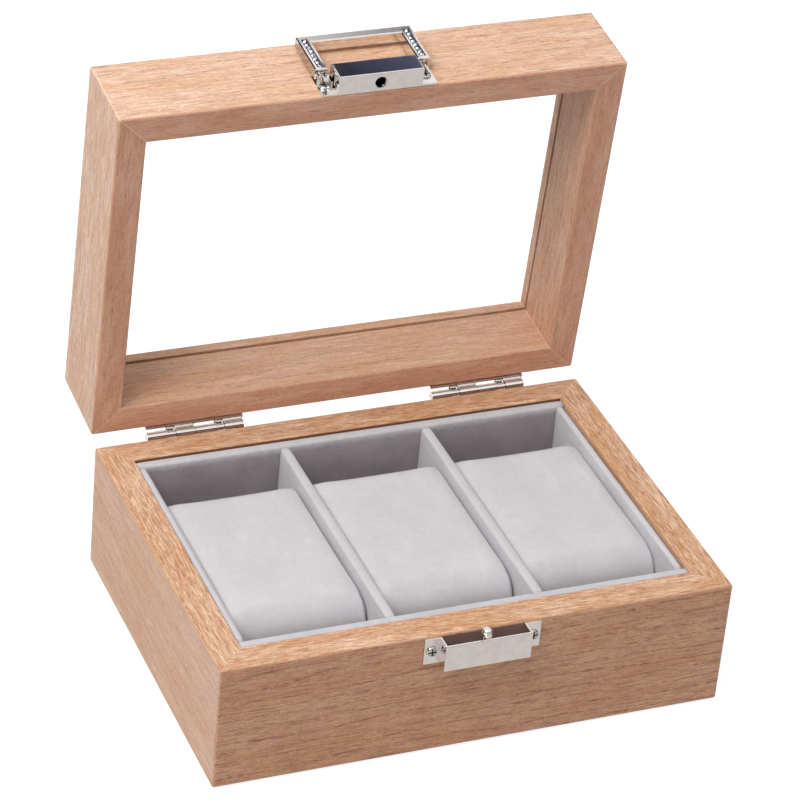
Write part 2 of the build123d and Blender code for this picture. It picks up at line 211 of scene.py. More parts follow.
def studioObject(name, points, faces, material):
    mesh = bpy.data.meshes.new(name)
    mesh.from_pydata(points, [], faces)
    mesh.materials.append(material)
    thing = bpy.data.objects.new(name, mesh)
    bpy.context.scene.collection.objects.link(thing)
    return thing


# 1 for a ray that shows the background: seen, reflected or through glass, before any bounce
def backgroundRay(shade):
    path = shade.add("LightPath")
    seen = shade.maths("MAXIMUM", path.other("Is Camera Ray"), path.other("Is Glossy Ray"))
    seen = shade.maths("MAXIMUM", seen, path.other("Is Transmission Ray"))
    return seen * (1 - shade.maths("MINIMUM", path.other("Diffuse Depth"), 1.0))


def lightStudio():
    world = Shade(bpy.data.worlds.new("sky"))
    strength = studio["sky"] + (1 - studio["sky"]) * backgroundRay(world)
    light = world.add("Background", {}, {"Color": (1, 1, 1, 1), "Strength": strength})
    world.add("OutputWorld", {}, {"Surface": light})
    bpy.context.scene.world = world.owner

    for name, lamp in lamps.items():
        data = bpy.data.lights.new(name, "AREA")
        data.energy = lamp["power"]
        data.size = lamp["size"]
        holder = bpy.data.objects.new(name, data)
        aim = Vector(lamp["aim"]) - Vector(lamp["place"])
        holder.location = lamp["place"]
        holder.rotation_euler = aim.to_track_quat("-Z", "Y").to_euler()
        bpy.context.scene.collection.objects.link(holder)

    shade = newShade("paleFloor")
    tone = studio["floorTone"]
    matte = shade.add("BsdfDiffuse", {}, {"Color": (tone, tone, tone, 1)})
    glow = shade.add("Emission", {}, {"Strength": backgroundRay(shade) * studio["floorGlow"]})
    both = shade.add("AddShader", {}, {0: matte, 1: glow})
    shade.add("OutputMaterial", {}, {"Surface": both})
    half = studio["floorSize"] / 2
    studioObject("floor", [(-half, -half, 0), (half, -half, 0), (half, half, 0), (-half, half, 0)],
                 [(0, 1, 2, 3)], shade.owner)


# A card that runs from one colour to another and shows only in reflections
def dullCard(name, points, faces):
    shade = newShade(name + "Card")
    place = shade.add("SeparateXYZ", {}, {0: shade.add("TexCoord", {}, {}, "Generated")})
    tone = shade.mix(place, tint(cards[name]["left"]), tint(cards[name]["right"]))
    dull = shade.add("Emission", {}, {"Color": tone, "Strength": 1.0})
    shade.add("OutputMaterial", {}, {"Surface": dull})
    card = studioObject(name + "Card", points, faces, shade.owner)
    card.visible_camera = False
    card.visible_diffuse = False
    card.visible_transmission = False
    card.visible_shadow = False


def hangCards():
    for name in ("block", "bail", "keeper", "front"):
        place = Vector(cards[name]["place"])
        facing = (Vector(cards[name]["aim"]) - place).normalized()
        side = Vector((1, 0, 0)) * (cards[name]["size"][0] / 2)
        rise = side.cross(facing).normalized() * (cards[name]["size"][1] / 2)
        dullCard(name, [place - side - rise, place + side - rise, place + side + rise,
                        place - side + rise], [(0, 1, 2, 3)])

    band = cards["horizon"]
    radius, turns = band["radius"], band["turns"]
    points = [(radius * cos(2 * pi * i / turns), radius * sin(2 * pi * i / turns), z)
              for z in (band["low"], band["high"]) for i in range(turns)]
    faces = [(i, (i + 1) % turns, turns + (i + 1) % turns, turns + i) for i in range(turns)]
    dullCard("horizon", points, faces)


lightStudio()
hangCards()
bpy.context.scene.view_settings.view_transform = "Standard"
print("studio lit")

# The closed box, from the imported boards. The lid is packed open about its hinge.
lidHinge = next(joint for joint in frame["joints"] if joint["name"] == "lid_hinge")
hingeAxis = Vector(lidHinge["pos_m"])
lidOpening = radians(-lidHinge["range_deg"][0])
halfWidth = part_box("base_front_board")[1].x
halfDepth = -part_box("base_front_board")[0].y
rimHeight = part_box("base_front_board")[1].z
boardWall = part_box("base_front_board")[1].y + halfDepth
closeLid = (Matrix.Translation(hingeAxis) @ Matrix.Rotation(lidOpening, 4, "X")
            @ Matrix.Translation(-hingeAxis))


# The corners of a lid node with the lid closed
def closedBox(name):
    points = [closeLid @ vert.co for vert in nodes[name].data.vertices]
    return (Vector([min(p[i] for p in points) for i in range(3)]),
            Vector([max(p[i] for p in points) for i in range(3)]))


lidLow, lidHigh = (corner.z for corner in closedBox("lid_front_rail"))

# Veneer, in millimetres. A pattern has its lengths along and across the grain, its detail and
# shift, and the two levels between which it sets in. A sway of the rings ends with its size.
veneer = {
    "patterns": {
        "cloud": (48.0, 9.0, 2.0, 0.0, 0.38, 0.62),
        "patch": (16.0, 2.4, 3.0, 3.0, 0.46, 0.62),
        "figure": (13.0, 0.80, 3.0, 0.0, 0.52, 0.60),
        "fibre": (6.5, 0.34, 2.0, 0.0, 0.50, 0.60),
        "dash": (2.8, 0.33, 1.0, 0.0, 0.56, 0.62),
        "fleck": (5.0, 0.48, 2.0, 9.0, 0.54, 0.64),
        "bands": (9.0, 2.2, 4.0, 0.0, 0.46, 0.54),
    },
    "speckle": (0.75, 0.36, 2.0),
    "speckleLevels": (0.46, 0.68),
    "sways": ((85.0, 14.0, 1.0, 9.0), (13.0, 3.0, 3.0, 0.8)),
    "noiseRoughness": 0.55,
    "seedSteps": (311.0, 17.0),
    "ringPitch": 4.0,
    "ringSlope": (0.83, 0.56),
    "ringWidth": 0.055,
    "ringFade": 6,
    "lineLevels": (0.55, 0.95),
    "patchShare": 0.7,
    "ringShare": 0.45,
    "speckleShare": 0.40,
    "dashShare": 0.65,
    "looseDashes": 0.3,
    "rimDashes": 0.5,
    "rimDepth": 0.3,
    "rimSoftness": 0.3,
    "rimSkew": 0.03,
    "mitreTone": "F7DFC8",
    "mitreWidth": (0.10, 0.32),
    "mitreLid": 0.6,
    "mitreBase": 0.15,
    # Painted shade on the base boards' inner faces just under the rim, where they meet the liner
    "gapShadeDepth": (0.02, 0.10),
    "gapShadeEdge": 0.15,
    "gapShadeFade": 0.1,
    "roughness": {"all": 0.47, "figure": 0.1, "dash": 0.14},
    "relief": {"speckle": 0.5, "fibre": 0.3, "dash": 0.8, "line": 0.4},
    "bump": (0.5, 0.10 * mm),
    "bevel": 0.12 * mm,
}
# Painted shade on the strip of the front board inside the keeper's channel. Its edges are each two
# levels.
channelShade = {
    "tone": "8C7370",
    "share": 0.9,
    "side": (-0.4, -0.3),
    "skin": (0.05, 0.2),
    "top": (-0.5, 0.2),
    "bottom": (0.0, 0.1),
}
veneerTones = {
    "light": {"pale": "F6D4BA", "warm": "EEC29D", "pink": "E9B79F", "line": "C48F70",
              "pore": "96603F", "fleck": "FCE5CC", "gapShade": "8E6044",
              "streaks": 0.46, "fibres": 0.40, "flecks": 0.60, "rings": 0.4, "dots": 0.9},
    "baseRim": {"pale": "F2CFAE", "warm": "E2B084", "pink": "E3AC91", "line": "B0703F",
                "pore": "8F5632", "fleck": "FDE8C6",
                "streaks": 0.28, "fibres": 0.72, "flecks": 0.72, "rings": 0.1, "dots": 0.8},
    "lidRim": {"pale": "F4C0A1", "warm": "E8AE8C", "pink": "E6A488", "line": "B97C5C",
               "pore": "8E5036", "fleck": "F6CBAB",
               "streaks": 0.18, "fibres": 0.18, "flecks": 0.24, "rings": 0.2, "dots": 0.5},
    # The front board's set is warmer and darker, partly its own tone and partly painted shade
    "front": {"pale": "F0BC95", "warm": "E6AC80", "pink": "E6A789", "line": "A5664A",
              "pore": "84462C", "fleck": "F5CAA4", "gapShade": "5C3A28",
              "streaks": 0.34, "fibres": 0.30, "flecks": 0.45, "rings": 0.9, "dots": 1.0},
    "side": {"pale": "E9C1A4", "warm": "E1B08A", "pink": "DFB197", "line": "B68060",
             "pore": "A26A4A", "fleck": "F1D0B8", "gapShade": "4C2E1E",
             "streaks": 0.22, "fibres": 0.24, "flecks": 0.30, "rings": 0.5, "dots": 0.6},
    # A set for the lid rails whose inner faces lie in shade, tuned to lift them as painted light
    "inner": {"pale": "F4CAAC", "warm": "EDB891", "pink": "EBB69D", "line": "BB8360",
              "pore": "945F42", "fleck": "FADABC",
              "streaks": 0.31, "fibres": 0.27, "flecks": 0.40, "rings": 0.4, "dots": 0.7},
}
boards = {
    "base_front_board": ("x", "front", 1),
    "base_back_board": ("x", "light", 2),
    "base_left_board": ("y", "side", 3),
    "base_right_board": ("y", "side", 4),
    "lid_front_rail": ("x", "light", 5),
    "lid_back_rail": ("x", "inner", 6),
    "lid_left_rail": ("y", "light", 7),
    "lid_right_rail": ("y", "inner", 8),
}


# 1 on the strip of board that shows inside the keeper's channel, where painted shade darkens it
def channelShadeMask(shade, x, y, height):
    low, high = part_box("keeper_bracket")
    half = closedBox("clasp_block")[1].x

    def past(value, edge, key):
        start, full = channelShade[key]
        return shade.step(value, edge / mm + start, edge / mm + full)

    across = 1 - past(abs(x), half, "side")
    front = 1 - past(y, -halfDepth, "skin")
    below = 1 - past(height, high.z, "top")
    return across * front * below * past(height, low.z, "bottom") * channelShade["share"]


# Straight-grained veneer: soft patches of three tones, crisp long streaks and fine fibres,
# short dark pores that gather along the rings, and pale flecks. The narrow faces where lid
# and base meet are livelier. The base's inner faces just under the rim, where they meet the
# liner, are darkened as painted shade.
def veneerFinish(name, alongAxis, toneName, seed, onLid):
    shade = newShade(name)
    place = shade.add("TexCoord", {}, {}, "Object")
    if onLid:
        place = shade.add("VectorRotate", {"rotation_type": "X_AXIS"},
                          {"Vector": place, "Center": hingeAxis, "Angle": lidOpening})
    parts = shade.add("SeparateXYZ", {}, {0: shade.stretch(place, (1 / mm, 1 / mm, 1 / mm))})
    x, y, height = parts, parts.other(1), parts.other(2)
    along, across = (x, y) if alongAxis == "x" else (y, x)
    alongStep, acrossStep = veneer["seedSteps"]
    along = along + seed * alongStep

    low, high = (lidLow / mm, lidHigh / mm) if onLid else (0.0, rimHeight / mm)
    deep, soft = veneer["rimDepth"], veneer["rimSoftness"]
    rim = shade.step(height, high - deep - soft, high - deep)
    if onLid:
        rim = shade.maths("MAXIMUM", rim, 1 - shade.step(height, low + deep, low + deep + soft))

    faceTones, rimTones = veneerTones[toneName], veneerTones["lidRim" if onLid else "baseRim"]

    def tone(key):
        return shade.mix(rim, tint(faceTones[key]), tint(rimTones[key]))

    def weight(key):
        return faceTones[key] + rim * (rimTones[key] - faceTones[key])

    slant = across + rim * along * veneer["rimSkew"]

    def noiseAt(length, width, detail, shift=0.0):
        spot = shade.join(along / length + shift, (slant + seed * acrossStep) / width,
                          height / width)
        return shade.grain(spot, detail, veneer["noiseRoughness"])

    def pattern(key):
        *size, start, full = veneer["patterns"][key]
        return shade.step(noiseAt(*size), start, full)

    slope = veneer["ringSlope"]
    ringPlace = height * slope[0] + across * slope[1]
    for *size, strength in veneer["sways"]:
        ringPlace = ringPlace + (noiseAt(*size) - 0.5) * strength
    phase = shade.maths("FRACT", ringPlace / veneer["ringPitch"])
    width = veneer["ringWidth"]
    near = shade.step(phase, 1.0 - veneer["ringFade"] * width, 1.0 - width)
    near = near * (1 - shade.step(phase, 1.0 - width, 1.0))
    line = shade.step(near, *veneer["lineLevels"]) * pattern("bands")

    figure = pattern("figure")
    fibre = pattern("fibre")
    loose = veneer["looseDashes"]
    gathered = shade.maths("MAXIMUM", near, rim * veneer["rimDashes"])
    dash = pattern("dash") * (loose + (1 - loose) * gathered)
    speckle = noiseAt(*veneer["speckle"])
    speckled = shade.step(speckle, *veneer["speckleLevels"])

    colour = shade.mix(pattern("cloud"), tone("pale"), tone("warm"))
    layers = (
        (pattern("patch") * veneer["patchShare"], "pink"),
        (pattern("fleck") * weight("flecks"), "fleck"),
        (figure * weight("streaks"), "line"),
        (fibre * weight("fibres"), "line"),
        (line * weight("rings") * veneer["ringShare"], "pore"),
        (speckled * veneer["speckleShare"], "line"),
        (dash * weight("dots") * veneer["dashShare"], "pore"),
    )
    for share, key in layers:
        colour = shade.mix(share, colour, tone(key))

    corner = abs(abs(x) - abs(y) - (halfWidth - halfDepth) / mm)
    mitre = 1 - shade.step(corner, *veneer["mitreWidth"])
    mitre = mitre * veneer["mitreLid" if onLid else "mitreBase"]
    colour = shade.mix(mitre, colour, tint(veneer["mitreTone"]))
    # Painted shade on the inner faces just under the rim, where the boards meet the liner
    if not onLid:
        inner = (halfDepth if alongAxis == "x" else halfWidth) / mm - boardWall / mm
        start, full = veneer["gapShadeDepth"]
        gapShade = 1 - shade.step(abs(across), inner + start, inner + full)
        edge = high - veneer["gapShadeEdge"]
        gapShade = gapShade * (1 - shade.step(height, edge - veneer["gapShadeFade"], edge))
        colour = shade.mix(gapShade, colour, tint(faceTones["gapShade"]))
    # Painted shade inside the keeper's channel
    if name.startswith("base_front"):
        colour = shade.mix(channelShadeMask(shade, x, y, height), colour, tint(channelShade["tone"]))

    rough, relief = veneer["roughness"], veneer["relief"]
    raised = speckle * relief["speckle"] + fibre * relief["fibre"]
    sunk = dash * relief["dash"] + line * relief["line"]
    return shade.surface({
        "Base Color": colour,
        "Roughness": rough["all"] + rough["figure"] * figure + rough["dash"] * dash,
        "Normal": shade.bump(raised - sunk, *veneer["bump"]),
    })


# A carried-over node: faces joined up, edges eased by a small bevel, smooth shading
easing = {"weld": 0.002 * mm, "flat": radians(0.6), "segments": 2, "sharp": radians(40)}


def easeEdges(node, width):
    weld = node.modifiers.new("weld", "WELD")
    weld.merge_threshold = easing["weld"]
    flat = node.modifiers.new("flat", "DECIMATE")
    flat.decimate_type = "DISSOLVE"
    flat.angle_limit = easing["flat"]
    bevel = node.modifiers.new("bevel", "BEVEL")
    bevel.width = width
    bevel.segments = easing["segments"]
    bevel.limit_method = "ANGLE"
    bevel.angle_limit = easing["sharp"]
    bevel.harden_normals = True
    node.modifiers.new("normals", "WEIGHTED_NORMAL").keep_sharp = True


def finishNode(name, material, width=0.0):
    node = nodes[name]
    node.data.materials.clear()
    node.data.materials.append(material)
    if width:
        easeEdges(node, width)


for name, (alongAxis, toneName, seed) in boards.items():
    finish = veneerFinish(name + "Veneer", alongAxis, toneName, seed, name.startswith("lid"))
    finishNode(name, finish, veneer["bevel"])
print("boards veneered")

# Plated metal, with a cloudy film, fine brushing along X and small pits. Each node has its
# bevel width in millimetres.
plating = {
    "cloud": (0.25, 0.25, 0.25),
    "cloudLevels": (0.35, 0.7),
    "cloudShare": 0.5,
    "brush": (0.5, 11.0, 11.0),
    "pits": (2.6, 2.6, 2.6),
    "pitLevels": (0.62, 0.72),
    "pitShare": 0.25,
    "pitRoughness": 0.05,
    "pitDepth": 0.3,
    "height": 0.004 * mm,
}
metals = {
    "nickel": {"colour": "ECE8E5", "cloudy": "DDD8D4", "roughness": 0.03, "spread": 0.07,
               "scratch": 0.06},
    "steel": {"colour": "CFCDCC", "cloudy": "B5B1AE", "roughness": 0.12, "spread": 0.10,
              "scratch": 0.16},
    # Darker copies for faces in shade, as painted shade
    "shadedSteel": {"colour": "4A4644", "cloudy": "353230", "roughness": 0.42, "spread": 0.15,
                  "scratch": 0.25},
    "shadedNickel": {"colour": "9A989C", "cloudy": "7E7C80", "roughness": 0.30, "spread": 0.15,
                   "scratch": 0.20},
    "shadedSideNickel": {"colour": "C2BCB6", "cloudy": "A8A29C", "roughness": 0.08, "spread": 0.10,
                   "scratch": 0.10},
}
plated = {
    "hinge_left_base_leaf": 0.14, "hinge_right_base_leaf": 0.14,
    "hinge_left_lid_leaf": 0.14, "hinge_right_lid_leaf": 0.14,
    "keeper_bracket": 0.13, "keeper_stud": 0.1, "clasp_plate": 0.15, "clasp_block": 0.3,
    "bail_frame": 0.12,
}
fastened = {
    "hinge_left_pin": 0.1, "hinge_right_pin": 0.1, "hinge_base_screws": 0.06,
    "hinge_lid_screws": 0.06, "keeper_screws": 0.06, "clasp_screws": 0.06,
    "clasp_catch_spring": 0.0, "clasp_pivot_pins": 0.06,
}


def metalFinish(name):
    values = metals[name]
    shade = newShade(name)
    place = shade.place()
    cloud = shade.grain(shade.stretch(place, plating["cloud"]), 3.0)
    brush = shade.grain(shade.stretch(place, plating["brush"]))
    pits = shade.grain(shade.stretch(place, plating["pits"]))
    pits = shade.step(pits, *plating["pitLevels"])
    film = shade.step(cloud, *plating["cloudLevels"]) * plating["cloudShare"]
    colour = shade.mix(film, tint(values["colour"]), tint(values["cloudy"]))
    rough = values["roughness"] + values["spread"] * (cloud * brush)
    relief = brush - pits * plating["pitDepth"]
    return shade.surface({
        "Base Color": shade.mix(pits * plating["pitShare"], colour, tint(values["cloudy"])),
        "Metallic": 1.0,
        "Roughness": rough + plating["pitRoughness"] * pits,
        "Normal": shade.bump(relief, values["scratch"], plating["height"]),
    })


nickel = metalFinish("nickel")
steel = metalFinish("steel")
for name, width in plated.items():
    finishNode(name, nickel, width * mm)
for name, width in fastened.items():
    finishNode(name, steel, width * mm)

# Darker finishes that paint shade onto chosen faces
shadedSteel = metalFinish("shadedSteel")
shadedNickel = metalFinish("shadedNickel")
shadedSideNickel = metalFinish("shadedSideNickel")


# How far, in metres, the tests below reach past the forms that they look for
margins = {
    "near": 0.02 * mm,
    "bore": 0.9 * mm,
    "recess": 0.35 * mm,
    "recessDepth": 0.1 * mm,
    "leafEdge": 1.15 * mm,
    "leafDepth": 1.0 * mm,
}


# Closes the lid for a node that is on it, and leaves a node of the base as it is
def turnFor(name):
    return Matrix.Identity(4) if name.startswith(("keeper", "hinge_base")) else closeLid


# Gives some faces of a carried-over node a darker finish, as painted shade. The test gets a
# face's corners, on the lid and the bail with the lid closed.
def shadeFaces(name, chosen, finish=shadedSteel):
    node = nodes[name]
    node.data.materials.append(finish)
    turn = turnFor(name)
    for face in node.data.polygons:
        if chosen([turn @ node.data.vertices[i].co for i in face.vertices]):
            face.material_index = len(node.data.materials) - 1


# The bore of the clasp's block, where the stud goes in, darkened as painted shade
def shadeBore():
    low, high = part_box("keeper_stud")
    stud = (low + high) / 2
    reach = (high.x - low.x) / 2 + margins["bore"]
    shadeFaces("clasp_block", lambda corners: all((p.xy - stud.xy).length < reach for p in corners))


# The recesses of the bail's arms, darkened as painted shade into a thin dark line round the stones
def shadeRecess():
    settings = [closeLid @ vert.co for vert in nodes["bail_crystals"].data.vertices]
    face = closedBox("bail_frame")[0].y
    seat = max(p.y for p in settings)
    sides = [abs(p.x) for p in settings]
    middle = (min(sides) + max(sides)) / 2
    reach = max(sides) - middle + margins["recess"]

    def chosen(corners):
        inside = all(abs(abs(p.x) - middle) < reach for p in corners)
        shallow = all(p.y < seat + margins["near"] for p in corners)
        return inside and shallow and max(p.y for p in corners) > face + margins["recessDepth"]
    shadeFaces("bail_frame", chosen, shadedNickel)


# The outer sides of the bail's arms, given a darker plating as painted shade, so they show a little
# darker than the wood they reflect
def shadeSides():
    reach = closedBox("bail_frame")[1].x - margins["near"]
    shadeFaces("bail_frame", lambda corners: all(abs(p.x) > reach for p in corners), shadedSideNickel)


# The cross slots, darkened as painted shade. Their faces lie near a screw's axis and no deeper than
# the slot
crossSlot = {"depth": 0.5 * mm, "margin": 0.5 * mm, "clasp": 2.1 * mm, "hinge": 1.9 * mm}


def shadeSlots(name):
    radius = crossSlot["hinge" if name.startswith("hinge") else "clasp"]
    facing = 1 if name.startswith("hinge") else -1
    turn = turnFor(name)
    points = [turn @ vert.co for vert in nodes[name].data.vertices]
    outer = max(facing * p.y for p in points)
    heads = [p for p in points if facing * p.y > outer - margins["near"] / 2]
    middles = []
    for p in heads:
        group = [q for q in heads if (q.xz - p.xz).length < 2 * radius]
        low = Vector((min(q.x for q in group), min(q.z for q in group)))
        high = Vector((max(q.x for q in group), max(q.z for q in group)))
        middles.append((low + high) / 2)

    def chosen(corners):
        inside = all(any((p.xz - m).length < radius - crossSlot["margin"] for m in middles)
                     for p in corners)
        depth = max(outer - facing * p.y for p in corners)
        return inside and abs(depth - crossSlot["depth"]) < margins["near"]
    shadeFaces(name, chosen)


# The cut lower edges of the lid's hinge leaves, beside the knuckles, darkened as painted shade
def shadeEdges(name):
    face = closedBox("lid_back_rail")[1].y + margins["leafDepth"]
    edge = hingeAxis.z + margins["leafEdge"]
    shadeFaces(name, lambda corners: all(p.z < edge and p.y < face for p in corners))


shadeBore()
shadeRecess()
shadeSides()
for name in ("hinge_base_screws", "hinge_lid_screws", "keeper_screws", "clasp_screws"):
    shadeSlots(name)
for name in ("hinge_left_lid_leaf", "hinge_right_lid_leaf"):
    shadeEdges(name)
print("metal plated")


# Clear pane, very slightly rippled
pane = {"ior": 1.25, "waves": (0.022, 0.022, 0.022), "ripple": (0.03, 0.05 * mm), "bevel": 0.1 * mm}


def paneFinish():
    shade = newShade("clearPane")
    waves = shade.grain(shade.stretch(shade.place(), pane["waves"]), 1.0)
    return shade.surface({"Base Color": (1, 1, 1, 1), "Roughness": 0.0, "IOR": pane["ior"],
                          "Transmission Weight": 1.0,
                          "Normal": shade.bump(waves, *pane["ripple"])})


finishNode("lid_pane", paneFinish(), pane["bevel"])
nodes["lid_pane"].visible_shadow = False

# Floor panel of fibreboard
panel = {"dark": "9B7A58", "pale": "B5936D", "flecks": (1.2, 1.2, 3.0), "roughness": 0.8,
         "bump": (0.3, 0.1 * mm), "bevel": 0.15 * mm}


def panelFinish():
    shade = newShade("fibreboard")
    fleck = shade.grain(shade.stretch(shade.place(), panel["flecks"]), 4.0)
    return shade.surface({"Base Color": shade.mix(fleck, tint(panel["dark"]), tint(panel["pale"])),
                          "Roughness": panel["roughness"],
                          "Normal": shade.bump(fleck, *panel["bump"])})


finishNode("base_floor_panel", panelFinish(), panel["bevel"])

# Velvet and felt: soft clouds, brushed nap and the grain of the pile
weave = {
    "cloud": (0.07, 0.07, 0.07),
    "nap": (0.5, 0.5, 0.5),
    "pile": (3.2, 3.2, 3.2),
    "mixture": {"cloud": 0.35, "nap": 0.30, "pile": 0.35},
    "deepLevels": (0.36, 0.64),
    "brushed": (0.16, 0.05, 0.16),
    "brushedLevels": (0.55, 0.75),
    "brushedShare": 0.35,
    "shadeWaver": 1.5,
    "hollowShare": 0.6,
    "hollowClouds": 1.2,
    "roughness": 0.88,
    "pileRoughness": 0.1,
    "specular": 0.15,
    "sheenRoughness": 0.4,
    "relief": {"pile": 0.7, "nap": 0.3},
    "height": 0.14 * mm,
}
cloths = {
    "linerVelvet": {"pale": "D2CFD2", "deep": "C2BFC2", "worn": "DEDBDE", "pile": 0.4,
                    "sheen": 0.2, "mottle": 0.6},
    # The end walls' velvet carries painted shade below its top
    "shadedEndVelvet": {"pale": "D2CFD2", "deep": "C2BFC2", "worn": "DEDBDE", "pile": 0.5,
                  "sheen": 0.2, "mottle": 0.8, "below": "AFA6A9",
                  "hollow": "958C8F", "fade": (0.9, 3.8)},
    "pillowVelvet": {"pale": "D7D4D7", "deep": "CBC8CB", "worn": "E1DEE1", "pile": 0.4,
                     "sheen": 0.2, "mottle": 0.8},
    "blackFelt": {"pale": "2C2A2B", "deep": "1D1C1D", "worn": "383536", "pile": 0.6,
                  "sheen": 0.1, "mottle": 1.0},
}


# With "below", painted shade darkens a wall from a little under its top downwards
def clothFinish(name, top=0.0):
    values = cloths[name]
    shade = newShade(name)
    place = shade.place()
    cloud = shade.grain(shade.stretch(place, weave["cloud"]))
    nap = shade.grain(shade.stretch(place, weave["nap"]), 3.0)
    pile = shade.grain(shade.stretch(place, weave["pile"]), 3.0)
    parts = weave["mixture"]
    mixture = cloud * parts["cloud"] + nap * parts["nap"] + pile * parts["pile"]
    deep = shade.step(mixture, *weave["deepLevels"]) * values["mottle"]
    brushed = shade.grain(shade.stretch(place, weave["brushed"]))
    brushed = shade.step(brushed, *weave["brushedLevels"]) * weave["brushedShare"]
    colour = shade.mix(deep, tint(values["pale"]), tint(values["deep"]))
    colour = shade.mix(brushed, colour, tint(values["worn"]))
    if "below" in values:
        depth = top / mm - shade.add("SeparateXYZ", {}, {0: place}).other(2)
        paintedShade = shade.step(depth + (nap - 0.5) * weave["shadeWaver"], *values["fade"])
        hollow = deep * weave["hollowShare"] + (cloud - 0.5) * weave["hollowClouds"]
        dark = shade.mix(hollow, tint(values["below"]), tint(values["hollow"]))
        colour = shade.mix(paintedShade, colour, dark)
    relief = pile * weave["relief"]["pile"] + nap * weave["relief"]["nap"]
    return shade.surface({
        "Base Color": colour,
        "Roughness": weave["roughness"] + weave["pileRoughness"] * pile,
        "Specular IOR Level": weave["specular"],
        "Sheen Weight": values["sheen"],
        "Sheen Roughness": weave["sheenRoughness"],
        "Normal": shade.bump(relief, values["pile"], weave["height"]),
    })


linerVelvet = clothFinish("linerVelvet")
shadedEndVelvet = clothFinish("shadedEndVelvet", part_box("liner_back")[1].z)
pillowVelvet = clothFinish("pillowVelvet")
blackFelt = clothFinish("blackFelt")


# A new object in the scene from the faces of a bmesh, which it uses up
def addObject(name, build, material, smooth=True):
    mesh = bpy.data.meshes.new(name)
    build.to_mesh(mesh)
    build.free()
    mesh.materials.append(material)
    mesh.polygons.foreach_set("use_smooth", [smooth] * len(mesh.polygons))
    piece = bpy.data.objects.new(name, mesh)
    bpy.context.scene.collection.objects.link(piece)
    return piece


# A smooth object from points and faces
def addPiece(name, points, faces, material):
    draft = bpy.data.meshes.new(name)
    draft.from_pydata([tuple(p) for p in points], [], faces)
    build = bmesh.new()
    build.from_mesh(draft)
    bpy.data.meshes.remove(draft)
    bmesh.ops.recalc_face_normals(build, faces=build.faces)
    return addObject(name, build, material)


# Rings of points joined into a closed skin, the first and last ring closed by a face
def skin(rings):
    count = len(rings[0])
    points = [p for ring in rings for p in ring]
    faces = []
    for row in range(len(rings) - 1):
        for i in range(count):
            j = (i + 1) % count
            faces.append((row * count + i, row * count + j,
                          (row + 1) * count + j, (row + 1) * count + i))
    faces.append(tuple(range(count)))
    faces.append(tuple((len(rings) - 1) * count + i for i in reversed(range(count))))
    return points, faces


# Liner and partitions: padded walls wrapped in velvet and rounded along the edges of the
# top. The side walls and the partitions stand between the two end walls.
linerWall = {
    "step": 2.0 * mm,
    "swell": 0.10 * mm,
    "bumps": 60.0,
    "ease": 0.25 * mm,
    "easePower": 40,
    "endGap": 0.02 * mm,
    "leastHalf": 0.5 * mm,
    "round": 1.1 * mm,
    "crown": 0.08 * mm,
    "shoulder": 0.25,
    "sidePoints": 6,
    "topPoints": 6,
    "fill": 0.9,
}
# Each wall's direction, outer side, velvet and lean
linerWalls = {
    # The end walls use the velvet with painted shade
    "liner_front": ("x", -1, shadedEndVelvet, 0.0),
    "liner_back": ("x", 1, shadedEndVelvet, 0.2 * mm),
    "liner_left": ("y", -1, linerVelvet, 0.1 * mm),
    "liner_right": ("y", 1, linerVelvet, 0.9 * mm),
    "divider_left": ("y", 1, linerVelvet, 0.0),
    "divider_right": ("y", 1, linerVelvet, 0.0),
}


# Up one side of a wall, over its slightly crowned top and down the other, as (across, height)
def wallProfile(thickness, low, high):
    radius = linerWall["round"]
    rise = high - linerWall["crown"] - radius
    sides, turns = linerWall["sidePoints"], linerWall["topPoints"]
    half = [(0.0, low + (rise - low) * i / sides) for i in range(sides)]
    for i in range(turns + 1):
        angle = pi / 2 * i / turns
        half.append((radius - radius * cos(angle), rise + radius * sin(angle)))
    half.append(((radius + thickness / 2) / 2, high - linerWall["crown"] * linerWall["shoulder"]))
    return half + [(thickness / 2, high)] + [(thickness - a, h) for a, h in reversed(half)]


# A velvet wall along X or Y. Its skin is a little uneven and draws in at both ends, and its
# top leans away from the board behind it.
def velvetWall(node, alongAxis, outward, velvet, lean):
    low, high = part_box(node)
    axis = 0 if alongAxis == "x" else 1
    length = (high[axis] - low[axis]) / 2 - linerWall["endGap"]
    middle = (high[axis] + low[axis]) / 2
    sideLow, sideHigh = low[1 - axis], high[1 - axis]
    centre = (sideLow + sideHigh) / 2
    profile = wallProfile(sideHigh - sideLow, low.z, high.z)
    count = round(2 * length / linerWall["step"])
    shift = Vector((7, 3, 1))
    rings = []
    for row in range(count + 1):
        share = row / count * 2 - 1
        along = middle + share * length
        end = linerWall["ease"] * abs(share) ** linerWall["easePower"]
        ring = []
        for across, height in profile:
            side = sideHigh - across if outward > 0 else sideLow + across
            drift = noise.noise(Vector((along, side, height)) * linerWall["bumps"] + shift)
            pull = linerWall["swell"] * (drift * 0.5 - 0.5) - end
            half = max(abs(side - centre), linerWall["leastHalf"])
            side = centre + (side - centre) * (1 + pull / half)
            side -= outward * lean * (height - low.z) / (high.z - low.z)
            ring.append((along, side, height) if axis == 0 else (side, along, height))
        rings.append(ring)
    piece = addPiece(node + "_velvet", *skin(rings), velvet)
    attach(piece, "base")
    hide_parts(node)


for node, (alongAxis, outward, velvet, lean) in linerWalls.items():
    velvetWall(node, alongAxis, outward, velvet, lean)
print("liner covered")

# Flat pads: the velvet floor of the liner and the felt under the box. Lengths in millimetres.
padShape = {"edgeSteps": 4, "bumps": 90.0}
pads = {
    "liner_floor_velvet": {"node": "liner_floor", "round": 0.9, "step": 4.0, "dip": 0.12,
                           "slot": "velvet", "fill": 0.8},
    "base_felt_sheet": {"node": "base_felt", "round": 0.35, "step": 6.0, "dip": 0.0,
                        "slot": "felt", "fill": 0.9},
}


